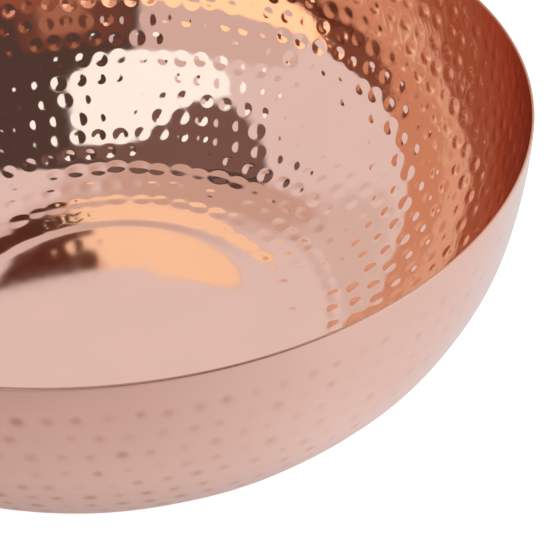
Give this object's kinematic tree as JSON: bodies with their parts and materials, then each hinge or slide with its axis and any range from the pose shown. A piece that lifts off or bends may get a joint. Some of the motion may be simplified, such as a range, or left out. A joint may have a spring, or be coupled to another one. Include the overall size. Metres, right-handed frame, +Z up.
{
  "type": "hammered copper bowl",
  "caption": "Wide round-shouldered serving bowl formed from one hammered copper sheet, with a plain thin rim, a smooth, barely dished floor and small protective pads underneath.",
  "frame": {"origin": "centre of the plane that the base pads stand on, on the bowl's axis", "axes": "+Z up along the bowl's axis; +X to the right and -Y to the front; the bowl is round, so front is only the side of base_pad_front"},
  "size_m": [0.3, 0.3, 0.1083],
  "materials": {
    "hammered_copper": "copper; mirror-polished inside with raised hammer bosses, satin-brushed outside with the matching shallow dents",
    "pad_rubber": "matt dark rubber"
  },
  "bodies": {
    "root": {"bowl_shell": "hammered_copper", "base_pad_front": "pad_rubber", "base_pad_right": "pad_rubber", "base_pad_back": "pad_rubber", "base_pad_left": "pad_rubber"}
  },
  "joints": []
}
